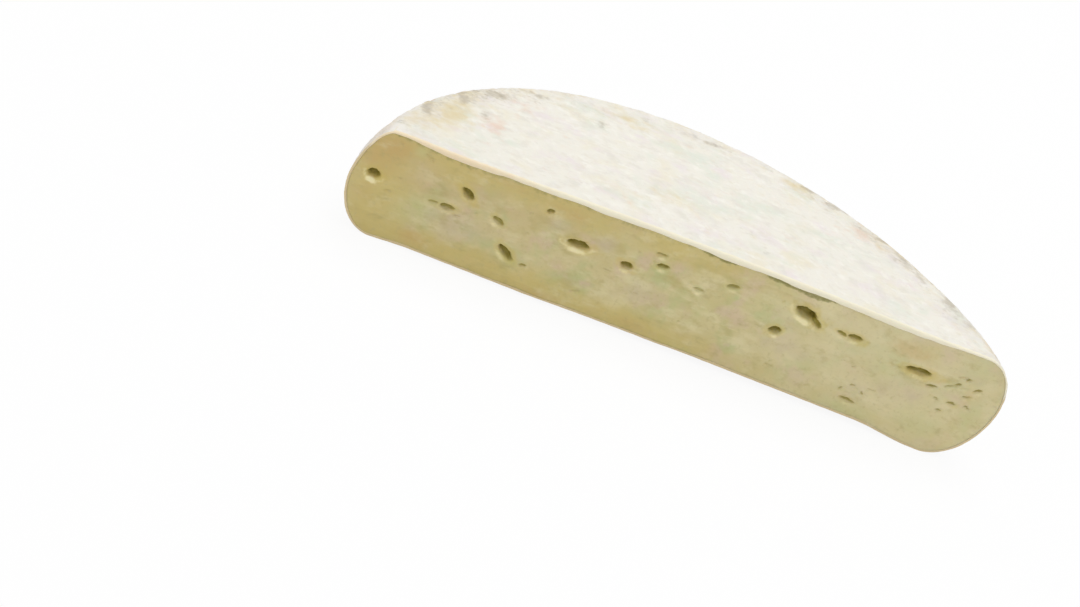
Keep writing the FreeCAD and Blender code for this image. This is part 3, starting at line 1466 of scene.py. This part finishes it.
    def add_lip(self, maker: MeshMaker, edge: np.ndarray, outer: np.ndarray) -> np.ndarray:
        """Adds the rounded lip along the cut, as loops from the skin's edge inwards.

        Each loop is the edge moved towards the inner outline by a share, and out of the
        cut by a bulge that the grain varies.

        Args:
            maker: The mesh.
            edge: Point numbers of the skin's edge.
            outer: Their points.

        Returns:
            The point numbers of the last loop.
        """
        inner = self.inner_outline(self.around - 2 * self.corner, self.up)
        bulge = 1.0 + self.bulge_share * self.bulge.at(outer)
        high = ease(*self.lip_high, outer[:, 2])
        warm = ease(*self.warm_side, outer[:, 0])
        numbers = edge
        for share, out in self.lip_loops:
            loop = outer * (1.0 - share) + inner * share
            out = out * bulge * at_least(self.bulge_least, high)
            loop[:, 1] = self.form.cut_offset - out
            lip = 1.0 if share < 1.0 else self.lip_last
            previous, numbers = numbers, maker.add_points(
                loop, lip=lip * high, skin=lip * (1.0 - high), warm=lip * high * warm
            )
            maker.add_band(previous, numbers)
        inner[:, 1] = self.form.cut_offset + self.lip_hem
        lip = self.lip_last
        hem = maker.add_points(inner, lip=lip * high, skin=lip * (1.0 - high))
        maker.add_band(numbers, hem)
        return hem

    def dress(self, piece: bpy.types.Object) -> None:
        """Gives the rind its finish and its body.

        Args:
            piece: The rind.
        """
        piece.data.materials.append(RIND_FINISH.material())
        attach(piece, BODY)
        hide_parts(NODE)


@dataclass(frozen=True)
class EyeForm:
    """What all the eyes share.

    An eye's outline is nearly an ellipse, |a|^power + |b|^power = 1, with grain in its
    radius. Its wall takes up a share of the radius, and a slope makes it wider below. Its
    hollow is painted with shade but for its lowest part. Below it the knife has pushed up a
    lip, in millimetres down and shares of the width across, painted pale as light catching it
    from above. A pale ring of painted light, strongest below the eye, and a yellow glow lie
    round it, at radii that are shares of its own.
    """

    power: float = 1.9
    fray: float = 0.2
    wall: float = 0.4
    slope: float = 0.45
    shaded: Ramp = (-0.85, 0.0)
    lip_below: float = 0.35
    lip_reach: float = 0.6
    lip_height: float = 0.1
    lip_width: float = 0.45
    lip_light: float = 1.15
    lip_fray: float = 0.4
    ring_light: float = 0.45
    ring_at: float = 1.35
    ring_width: float = 0.35
    ring_side: Ramp = (0.9, -0.2)
    glow_light: float = 0.75
    glow_at: float = 1.1
    glow_width: float = 0.8
    glow_full: float = 3.0


EYE_FORM = EyeForm()


@dataclass(frozen=True)
class Eye:
    """One opened bubble on the cut: its middle, size and depth, and its tilt in degrees.

    The tilt turns it, right end up. lip is how pale the lip below it is painted, as light
    catching it from above, and dark how strongly its hollow is painted with shade, 0 to 1.
    """

    x: float
    z: float
    width: float
    height: float
    depth: float
    tilt: float
    lip: float
    dark: float

    def marks(self, x: np.ndarray, z: np.ndarray, frayed: np.ndarray) -> dict[str, np.ndarray]:
        """Works out what the eye makes of the cut face.

        Args:
            x: Where the points of the face lie, to the right.
            z: How high they lie.
            frayed: Grain that varies the eye's radius and its lip.

        Returns:
            How far each point goes in, under "inwards", and the masks by name.
        """
        form = EYE_FORM
        turn = math.radians(self.tilt)
        right = (x - self.x) * math.cos(turn) + (z - self.z) * math.sin(turn)
        over = (z - self.z) * math.cos(turn) - (x - self.x) * math.sin(turn)
        a, b = 2.0 * right / self.width, 2.0 * over / self.height
        around = (np.abs(a) ** form.power + np.abs(b) ** form.power) ** (1.0 / form.power)
        around = around * (1.0 + form.fray * frayed)
        wall = form.wall + form.slope * np.clip(-b, 0.0, 1.0)
        hole = ease(0.0, wall, 1.0 - around)
        down = over + self.height / 2.0 + form.lip_below
        lip = bell(right / (form.lip_width * self.width)) * bell(down / form.lip_reach)
        ring = bell((around - form.ring_at) / form.ring_width) * ease(*form.ring_side, b)
        halo = np.maximum(lip, form.ring_light * ring) * (1.0 - hole)
        glow = bell((around - form.glow_at) / form.glow_width)
        glow = glow * min(1.0, self.width / form.glow_full)
        return {
            "inwards": self.depth * hole - form.lip_height * self.lip * lip,
            # Painted shade in the hollow, strongest in its upper part.
            "hollow": self.dark * hole * ease(*form.shaded, b),
            # Painted light on the lip and ring below the eye.
            "lit_lips_and_smear": self.lip * halo * (form.lip_light + form.lip_fray * frayed),
            "yolk": form.glow_light * self.dark * glow,
        }


@dataclass(frozen=True)
class Pinholes:
    """Tiny holes and short tears all over the cut face, from a seeded draw.

    Their widths, their heights as shares of the width, and the strength of the painted shade
    in their hollows are drawn evenly between two ends. depth is a share of the height.
    """

    seed: int
    count: int
    width: tuple[float, float]
    flatness: tuple[float, float]
    dark: tuple[float, float] = (0.05, 0.25)
    right: tuple[float, float] = (-62.0, 62.0)
    up: tuple[float, float] = (3.0, 21.0)
    tilt: float = 14.0
    depth: float = 0.35
    lip: float = 0.1

    def eyes(self) -> list[Eye]:
        """Draws the holes.

        Returns:
            The holes as small eyes.
        """
        draw = np.random.default_rng(self.seed)
        x = draw.uniform(*self.right, self.count)
        z = draw.uniform(*self.up, self.count)
        width = draw.uniform(*self.width, self.count)
        height = width * draw.uniform(*self.flatness, self.count)
        tilt = draw.normal(0.0, self.tilt, self.count)
        dark = draw.uniform(*self.dark, self.count)
        rows = zip(x, z, width, height, self.depth * height, tilt, dark)
        return [Eye(*row[:-1], self.lip, row[-1]) for row in rows]


@dataclass(frozen=True)
class ShadedGap:
    """A stretch where the paste has come away under the rind's lip, with painted shadow in it.

    It fades in at its start and out at its end. Its painted shadow and its depth reach down
    to shares of its width, which is never less than least.
    """

    start: float
    end: float
    width: float
    depth: float
    fade_in: Ramp = (-1.0, 2.0)
    fade_out: Ramp = (1.0, -6.0)
    dark_from: Ramp = (0.1, 0.4)
    dark_reach: Ramp = (1.7, 1.0)
    depth_reach: Ramp = (1.2, 0.8)
    least: float = 0.05

    def opened(
        self, x: np.ndarray, below: np.ndarray, ragged: np.ndarray
    ) -> tuple[np.ndarray, np.ndarray]:
        """Works out the gap at points of the cut face.

        Args:
            x: Where they lie along the cut.
            below: How far they lie below the rind.
            ragged: What the gap's width is multiplied by.

        Returns:
            How strongly painted shadow darkens them, 0 to 1, and how far back they lie, in
            millimetres.
        """
        span = ease(*self.fade_in, x - self.start) * ease(*self.fade_out, x - self.end)
        away = below / np.maximum(self.width * span * ragged, self.least)
        dark = ease(*self.dark_reach, away) * ease(*self.dark_from, span)
        return dark, ease(*self.depth_reach, away) * self.depth * span


@dataclass
class Paste:
    """The paste: a solid that fills the rind, with its cut face and the eyes in it.

    It reaches a little under the rind's lip, and its skin lies inset inside the form,
    from skin_back behind the cut. How near a point is to the face's edge is counted in
    shares of the face, times edge_rate.
    """

    form: WheelForm
    rind: Rind

    # The face's steps and edge, and the skin behind it.
    along: int = 560
    up: int = 96
    row_power: int = 14
    under_lip: float = 0.04
    edge_back: float = 0.03
    edge_rate: tuple[float, float] = (60.0, 20.0)
    inset: float = 1.15
    skin_back: float = 1.4

    # The knife's strokes and the face's slow waves, which leave the edge alone.
    stroke_height: float = 0.07
    wave_height: float = 0.12
    calm_edge: Ramp = (0.0, 0.5)
    smear: Patch = Patch(11.0, 10.0, 9.0, 2.2, 0.5)
    smear_where: Ramp = (0.2, 1.0)

    # The painted shade along the seam, and the gaps under the rind's lip with painted shadow in
    # them.
    seam_reach: Ramp = (1.3, 0.2)
    seam_side: Ramp = (25.0, -10.0)
    seam_shade: float = 0.45
    seam_ragged: float = 0.6
    gap_ragged: float = 0.7

    # Where the paste is ripe, golden and fresh.
    ripe_side: Ramp = (25.0, -65.0)
    ripe_up: Ramp = (8.0, 20.0)
    ripe_low: float = 0.45
    ripe_high: float = 0.8
    ripe_edge: Ramp = (2.0, 0.0)
    ripe_rim: float = 0.3
    gold_edge: Ramp = (7.5, 0.5)
    gold_most: float = 0.9
    gold_fade: float = 0.6
    gold_fades: Ramp = (-5.0, 25.0)
    gold_base: float = 0.35
    gold_low: Ramp = (8.0, 2.0)
    gold_left: Ramp = (10.0, -10.0)
    gold_waves: float = 0.4
    fresh_side: Ramp = (-5.0, 30.0)

    # Grains.
    frayed: Grain = Grain(1.3, 101, 3)
    strokes: Grain = Grain(1.4, 111, 3, (14.0, 1.0, 0.6))
    waves: Grain = Grain(18.0, 121, 2)
    gap_grain: Grain = Grain(2.6, 131, 3)
    seam_grain: Grain = Grain(1.5, 141, 2)

    # What the knife opened, and the coloured spots of the face.
    eyes: tuple[Eye, ...] = rows_of(
        Eye,
        (-64.7, 12.9, 2.8, 2.2, 1.8, -8.0, 1.0, 1.0),
        (-46.5, 16.2, 3.5, 1.9, 1.5, -32.0, 0.3, 1.0),
        (-49.3, 11.9, 3.6, 1.5, 0.9, 4.0, 0.38, 0.7),
        (-52.0, 11.9, 2.6, 0.9, 0.35, 8.0, 0.2, 0.4),
        (-38.9, 13.1, 3.2, 1.5, 0.8, -22.0, 0.6, 0.6),
        (-35.4, 7.5, 4.5, 1.8, 1.5, -35.0, 0.45, 0.9),
        (-30.5, 19.2, 1.9, 1.3, 0.8, 15.0, 0.3, 0.7),
        (-22.9, 14.8, 5.1, 2.0, 1.8, 3.0, 0.9, 1.0),
        (-12.4, 14.4, 3.0, 1.8, 1.4, -5.0, 0.52, 0.9),
        (-5.9, 17.1, 3.2, 1.3, 0.9, 5.0, 0.38, 0.8),
        (-7.0, 19.4, 3.0, 0.9, 0.5, 3.0, 0.38, 0.4), (2.5, 15.3, 3.0, 0.9, 0.4, 0.0, 0.38, 0.3),
        (8.5, 18.6, 3.2, 1.3, 0.7, 8.0, 0.38, 0.5),
        (20.1, 13.2, 2.9, 1.9, 1.6, 10.0, 0.52, 1.0),
        (24.2, 19.1, 5.2, 2.7, 2.6, -14.0, 0.9, 1.0),
        (26.9, 17.9, 3.2, 1.5, 1.0, -32.0, 0.45, 0.9),
        (35.3, 18.2, 3.8, 1.5, 1.0, 2.0, 0.45, 0.9),
        (32.5, 18.0, 2.8, 1.0, 0.6, -12.0, 0.38, 0.7),
        (50.5, 16.5, 6.2, 1.8, 1.6, 2.0, 0.45, 1.0),
        (54.1, 14.5, 2.6, 0.9, 0.6, 14.0, 0.25, 0.6),
        (57.3, 15.9, 2.2, 0.6, 0.4, 22.0, 0.2, 0.4),
        (58.9, 16.9, 1.6, 0.8, 0.5, 24.0, 0.15, 0.6),
        (60.5, 18.7, 1.6, 0.8, 0.5, 34.0, 0.2, 0.5),
        (63.2, 17.2, 2.2, 0.9, 0.5, 24.0, 0.25, 0.6),
        (61.6, 15.0, 2.4, 0.6, 0.4, 14.0, 0.25, 0.4),
        (62.7, 13.0, 2.2, 0.6, 0.4, -24.0, 0.25, 0.4),
        (59.6, 12.5, 2.2, 0.9, 0.5, 4.0, 0.25, 0.6),
        (58.0, 10.1, 1.6, 0.9, 0.5, 0.0, 0.15, 0.5),
        (56.2, 12.4, 1.8, 0.6, 0.4, -18.0, 0.2, 0.4),
        (40.3, 4.7, 4.4, 1.0, 0.6, -5.0, 0.3, 0.5),
        (37.8, 6.7, 1.2, 0.8, 0.35, 60.0, 0.2, 0.35),
        (39.7, 8.3, 1.5, 0.7, 0.35, 10.0, 0.2, 0.35),
        (42.2, 7.3, 1.3, 0.8, 0.35, -40.0, 0.2, 0.35),
        (-31.0, 6.2, 1.8, 0.9, 0.5, 10.0, 0.2, 0.5),
    )
    pinholes: tuple[Pinholes, ...] = (
        Pinholes(seed=5, count=45, width=(0.5, 0.9), flatness=(0.5, 0.9)),
        Pinholes(seed=6, count=20, width=(1.2, 2.6), flatness=(0.2, 0.35)),
    )
    gaps: tuple[ShadedGap, ...] = (
        ShadedGap(start=0.0, end=9.0, width=0.5, depth=0.25),
        ShadedGap(start=13.5, end=31.0, width=0.62, depth=0.3),
    )
    ambers: tuple[Patch, ...] = rows_of(
        Patch,
        (-64, 18, 5, 4.5, 1.0), (-53, 2.5, 3.5, 2, 0.8), (-64, 6, 3, 4, 0.4),
        (-44, 21, 12, 1.6, 0.45), (-27, 20.5, 5, 2, 0.5), (-24, 1.5, 6, 1.5, 0.6),
        (-8, 3, 6, 1.8, 0.6), (47, 20, 6, 2.5, 0.7), (63, 15.5, 3, 3.5, 0.35),
    )
    greens: tuple[Patch, ...] = rows_of(
        Patch,
        (-56, 8, 4, 4, 0.9), (-58, 21, 2.5, 1.5, 0.8), (-35, 6, 4, 2.5, 0.6),
        (-6, 6, 4, 2, 0.6), (5, 11, 6, 4, 0.5), (20, 18, 10, 3, 0.6), (30, 10, 5, 3, 0.7),
        (40, 3, 7, 2.2, 1.0), (43, 14, 5, 2.5, 0.85), (56, 6, 6, 4, 0.9), (65, 12, 3, 5, 0.8),
    )
    greys: tuple[Patch, ...] = rows_of(
        Patch,
        (-46, 9, 7, 3.5, 0.8), (-28, 17, 3, 2, 0.7), (-18, 17, 3, 2, 0.8), (-8, 10, 6, 4, 0.6),
        (24, 11, 7, 3, 0.6), (40, 8, 4, 3, 0.5), (50, 11, 5, 3, 0.6), (61, 19, 4, 2, 0.5),
    )

    def flat_face(self) -> np.ndarray:
        """Lays out the cut face before anything is opened in it.

        Returns:
            The grid of points, from the base up and from left to right.
        """
        loop = self.rind.inner_outline(self.along, self.up, -self.under_lip)
        closed = np.concatenate([loop, loop[:1]])
        ends = np.cumsum([0, self.along, self.up, self.along, self.up])
        top, left, base, right = (closed[a : b + 1] for a, b in zip(ends, ends[1:]))
        return patch_between(base, top[::-1], left[::-1], right, self.row_power)

    def open_eyes(self, place: np.ndarray) -> tuple[np.ndarray, dict[str, np.ndarray]]:
        """Opens the eyes and pinholes: depths add up, and the strongest mask shows.

        Args:
            place: Points of the flat cut face, in the frame of the model.

        Returns:
            How far each point goes in, and the masks by name.
        """
        frayed = self.frayed.at(place)
        small = [eye for pinholes in self.pinholes for eye in pinholes.eyes()]
        inwards = np.zeros(frayed.shape)
        masks = dict.fromkeys(("hollow", "lit_lips_and_smear", "yolk"), inwards)
        for eye in (*self.eyes, *small):
            marks = eye.marks(place[..., 0], place[..., 2], frayed)
            inwards = inwards + marks["inwards"]
            masks = {name: np.maximum(mask, marks[name]) for name, mask in masks.items()}
        return inwards, masks

    def open_seam(self, place: np.ndarray, below: np.ndarray) -> tuple[np.ndarray, np.ndarray]:
        """Opens the gaps under the rind's lip with painted shadow in them, and paints shade along
        the seam on the left.

        Args:
            place: Points of the flat cut face, in the frame of the model.
            below: How far they lie below the rind.

        Returns:
            How strongly painted shade darkens each point, 0 to 1, and how far back it lies, in
            millimetres.
        """
        x = place[..., 0]
        ragged = 1.0 + self.gap_ragged * self.gap_grain.at(place)
        dark, depth = np.max([gap_shade.opened(x, below, ragged) for gap_shade in self.gaps], axis=0)
        seam = ease(*self.seam_reach, below) * ease(*self.seam_side, x)
        grain = 1.0 + self.seam_ragged * self.seam_grain.at(place)
        return np.maximum(dark, self.seam_shade * seam * grain), depth

    def tints(
        self, place: np.ndarray, rim: np.ndarray, strokes: np.ndarray, waves: np.ndarray
    ) -> dict[str, np.ndarray]:
        """Works out the face's broad tints.

        It is riper and more golden near the rind and on the left, and fresher on the
        right. The knife has smeared a pale patch along its stroke.

        Args:
            place: Points of the flat cut face, in the frame of the model.
            rim: How far they lie from the face's edge, 0 at the edge.
            strokes: The grain of the knife's stroke.
            waves: The slow grain of the face.

        Returns:
            The masks by name.
        """
        x, z = place[..., 0], place[..., 2]
        ripe = self.ripe_low + (self.ripe_high - self.ripe_low) * ease(*self.ripe_up, z)
        ripe = ripe * ease(*self.ripe_side, x)
        gold = self.gold_most - self.gold_fade * ease(*self.gold_fades, x)
        gold = gold * ease(*self.gold_edge, rim)
        gold = gold + self.gold_base * ease(*self.gold_low, z) * ease(*self.gold_left, x)
        return {
            "ripe": ripe + self.ripe_rim * ease(*self.ripe_edge, rim),
            "golden": gold * (1.0 + self.gold_waves * waves),
            "fresh": ease(*self.fresh_side, x),
            "amber": cover_all(self.ambers, x, z),
            "green": cover_all(self.greens, x, z),
            "grey": cover_all(self.greys, x, z),
            "smear": self.smear.cover(x, z) * ease(*self.smear_where, strokes),
        }

    def build(self) -> bpy.types.Object:
        """Builds the paste: the cut face as a fine grid, and a coarse skin behind it.

        Returns:
            The paste.
        """
        flat = self.flat_face()
        place = flat + self.form.shift()
        rows, columns = flat.shape[:2]
        u, v = np.meshgrid(np.linspace(0.0, 1.0, columns), np.linspace(0.0, 1.0, rows))
        nearest = (np.minimum(share, 1.0 - share) for share in (u, v))
        rim = np.minimum(*(near * rate for near, rate in zip(nearest, self.edge_rate)))
        strokes, waves = self.strokes.at(place), self.waves.at(place)
        inwards, masks = self.open_eyes(place)
        # Painted shade in the gaps and along the seam under the rind's lip, and how far back the
        # gaps lie.
        gap_shade, set_back = self.open_seam(place, np.linalg.norm(flat - flat[-1:], axis=-1))
        relief = self.stroke_height * strokes + self.wave_height * waves
        face = flat.copy()
        face[..., 1] += inwards + set_back + relief * ease(*self.calm_edge, rim)
        face[..., 1] += self.edge_back * (1.0 - ease(0.0, 1.0, rim))
        masks = {**masks, "gap_shade": gap_shade, **self.tints(place, rim, strokes, waves)}
        # The painted light below the eyes and the knife's real pale smear share one mask.
        masks["lit_lips_and_smear"] = masks["lit_lips_and_smear"] + masks.pop("smear")
        maker = MeshMaker(tuple(masks))
        numbers = maker.add_points(face, **masks)
        maker.add_grid(numbers)
        sides = (numbers[-1, ::-1], numbers[::-1, 0], numbers[0], numbers[:, -1])
        edge, places = join_sides(*sides)
        add_inner_skin(maker, self.form, self.inset, self.skin_back, edge, places)
        return maker.piece("paste", self.form.shift())

    def dress(self, piece: bpy.types.Object) -> None:
        """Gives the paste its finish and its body.

        Args:
            piece: The paste.
        """
        piece.data.materials.append(PASTE_FINISH.material())
        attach(piece, BODY)
        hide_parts(NODE)


# ---------------------------------------------------------------- the studio


@dataclass(frozen=True)
class Lamp:
    """A soft square lamp: where it hangs, its size and its light, aimed at the half."""

    name: str
    place: tuple[float, float, float]
    size: float
    watts: float


@dataclass
class Studio:
    """A white table under soft light, and the camera, in metres.

    The table and the surround light the half as white paper and a plain surround do, and
    are white to the eye, whatever falls on them. glow_share is how much of the table's
    look that white takes up, which leaves some of the half's shadow.
    """

    floor_half: float = 4.0
    floor_gap: float = 0.00005
    floor_points: int = 9
    paper: str = "#f2f2f2"
    glow: float = 1.01
    glow_share: float = 0.9
    world_strength: float = 0.58
    aim: tuple[float, float, float] = (0.0, 0.0, 0.012)
    camera_at: tuple[float, float, float] = (-0.094309, -0.411646, 0.194645)
    camera_right: tuple[float, float, float] = (0.91927831, 0.03238458, 0.39227367)
    camera_up: tuple[float, float, float] = (-0.35912546, 0.47693548, 0.80222282)
    camera_ahead: tuple[float, float, float] = (0.16110959, 0.8783415, -0.45006656)
    clip: tuple[float, float] = (0.01, 50.0)
    lens: float = 73.33
    sensor: float = 36.0
    lamps: tuple[Lamp, ...] = (
        Lamp("lamp_over", (0.1, 0.25, 1.0), 0.9, 4.7),
        Lamp("lamp_front", (-0.5, -0.9, 0.7), 0.8, 2.0),
    )

    def build_camera(self) -> None:
        """Makes the camera from its three axes."""
        data = bpy.data.cameras.new("camera")
        data.lens = self.lens
        data.sensor_width = self.sensor
        data.clip_start, data.clip_end = self.clip
        camera = add_object("camera", data)
        axes = Matrix((self.camera_right, self.camera_up, -Vector(self.camera_ahead)))
        turned = axes.transposed().to_4x4()
        camera.matrix_world = Matrix.Translation(self.camera_at) @ turned
        bpy.context.scene.camera = camera

    def build_lamps(self) -> None:
        """Makes the lamps, each turned to face the half."""
        for lamp in self.lamps:
            data = bpy.data.lights.new(lamp.name, "AREA")
            data.shape = "SQUARE"
            data.size = lamp.size
            data.energy = lamp.watts
            light = add_object(lamp.name, data)
            light.location = lamp.place
            back = Vector(lamp.place) - Vector(self.aim)
            light.rotation_mode = "QUATERNION"
            light.rotation_quaternion = back.to_track_quat("Z", "Y")

    @staticmethod
    def by_ray(tree: bpy.types.NodeTree, hidden: float, seen: float) -> bpy.types.NodeSocket:
        """Adds a value that tells rays that show a surface from rays that light it.

        Args:
            tree: The node tree.
            hidden: The value for light that bounces on.
            seen: The value for what the camera sees, straight, mirrored or through glass.

        Returns:
            The value.
        """
        path = add_node(tree, "LightPath")
        shown = path.outputs["Is Camera Ray"]
        for ray in ("Is Glossy Ray", "Is Transmission Ray"):
            both = {0: shown, 1: path.outputs[ray]}
            shown = add_node(tree, "Math", {"operation": "MAXIMUM"}, links=both).outputs[0]
        ends = {3: hidden, 4: seen}
        return add_node(tree, "MapRange", values=ends, links={"Value": shown}).outputs[0]

    def build_world(self) -> None:
        """Makes the white surround: plain light on the half, white where it is seen."""
        world = bpy.data.worlds.new("surround")
        tree = empty_tree(world)
        strength = self.by_ray(tree, self.world_strength, 1.0)
        white = linear("#ffffff")
        light = add_node(tree, "Background", values={"Color": white}, links={1: strength})
        add_node(tree, "OutputWorld", links={"Surface": light.outputs[0]})
        bpy.context.scene.world = world

    def build_floor(self) -> None:
        """Makes the table: matt white, and white to the eye, with the half's shadow."""
        side = np.linspace(-self.floor_half, self.floor_half, self.floor_points)
        x, y = np.meshgrid(side, side)
        maker = MeshMaker(())
        level = np.full_like(x, -self.floor_gap)
        maker.add_grid(maker.add_points(np.stack([x, y, level], axis=-1) / MM))
        floor = maker.piece("table", np.zeros(3))
        material = bpy.data.materials.new("white_paper_sweep")
        tree = empty_tree(material)
        share = self.by_ray(tree, 0.0, self.glow_share)
        paper = add_node(tree, "BsdfDiffuse", values={"Color": linear(self.paper)})
        glow = add_node(tree, "Emission", values={"Strength": self.glow})
        links = {0: share, 1: paper.outputs[0], 2: glow.outputs[0]}
        mixed = add_node(tree, "MixShader", links=links)
        add_node(tree, "OutputMaterial", links={"Surface": mixed.outputs[0]})
        floor.data.materials.append(material)

    def build(self) -> None:
        """Makes the camera, the lamps, the surround and the table."""
        self.build_camera()
        self.build_lamps()
        self.build_world()
        self.build_floor()


def main() -> None:
    """Builds the studio and the half, and reports each piece."""
    logging.basicConfig(level=logging.INFO, format="%(name)s: %(message)s")
    bpy.context.scene.view_settings.view_transform = "Standard"
    Studio().build()
    form = WheelForm()
    rind = Rind(form)
    for part in (rind, Paste(form, rind)):
        piece = part.build()
        part.dress(piece)
        mesh = piece.data
        faces = sum(len(p.vertices) - 2 for p in mesh.polygons)
        log.info("%s: %d points, %d triangles", piece.name, len(mesh.vertices), faces)


if __name__ == "__main__":
    main()
